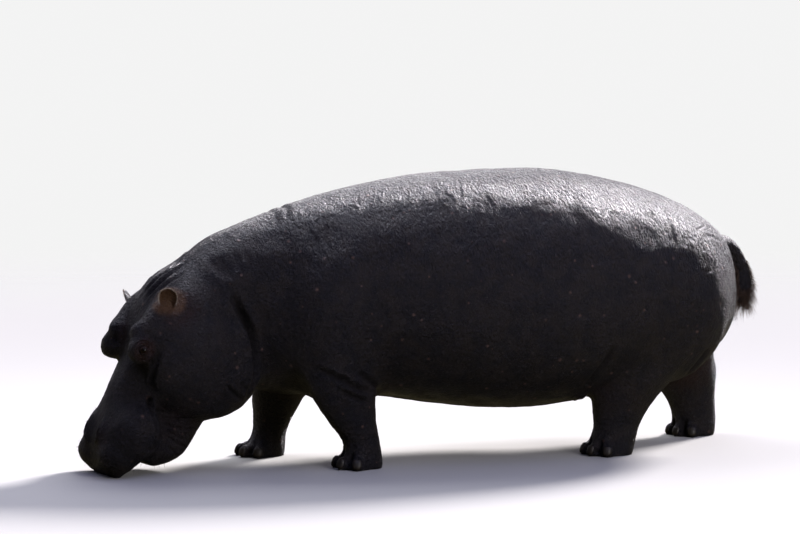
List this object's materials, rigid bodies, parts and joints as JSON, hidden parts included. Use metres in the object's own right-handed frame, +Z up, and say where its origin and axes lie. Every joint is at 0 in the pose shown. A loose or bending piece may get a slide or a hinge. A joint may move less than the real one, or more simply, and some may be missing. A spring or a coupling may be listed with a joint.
{
  "type": "hippopotamus",
  "caption": "Life-size still model of a grazing hippopotamus, barrel body on short legs, head held down with the muzzle at the floor.",
  "frame": {"origin": "on the floor, below the middle of the body's box", "axes": "+Z up; the animal faces -X, and its left side is -Y"},
  "size_m": [3.5298, 1.0906, 1.4161],
  "materials": {
    "hide": "moist dark slate hide with fine wrinkles",
    "ear_skin": "thin reddish-brown skin",
    "eye": "wet dark brown",
    "horn": "dull dark horn"
  },
  "bodies": {
    "root": {"head": "hide", "lower_jaw": "hide", "neck": "hide", "trunk": "hide", "tail": "hide", "leg_fore_left": "hide", "leg_fore_right": "hide", "leg_hind_left": "hide", "leg_hind_right": "hide", "foot_fore_left": "hide", "foot_fore_right": "hide", "foot_hind_left": "hide", "foot_hind_right": "hide", "ear_left": "ear_skin", "ear_right": "ear_skin", "eye_left": "eye", "eye_right": "eye", "nail_fore_left_1": "horn", "nail_fore_left_2": "horn", "nail_fore_left_3": "horn", "nail_fore_left_4": "horn", "nail_fore_right_1": "horn", "nail_fore_right_2": "horn", "nail_fore_right_3": "horn", "nail_fore_right_4": "horn", "nail_hind_left_1": "horn", "nail_hind_left_2": "horn", "nail_hind_left_3": "horn", "nail_hind_left_4": "horn", "nail_hind_right_1": "horn", "nail_hind_right_2": "horn", "nail_hind_right_3": "horn", "nail_hind_right_4": "horn"}
  },
  "joints": []
}
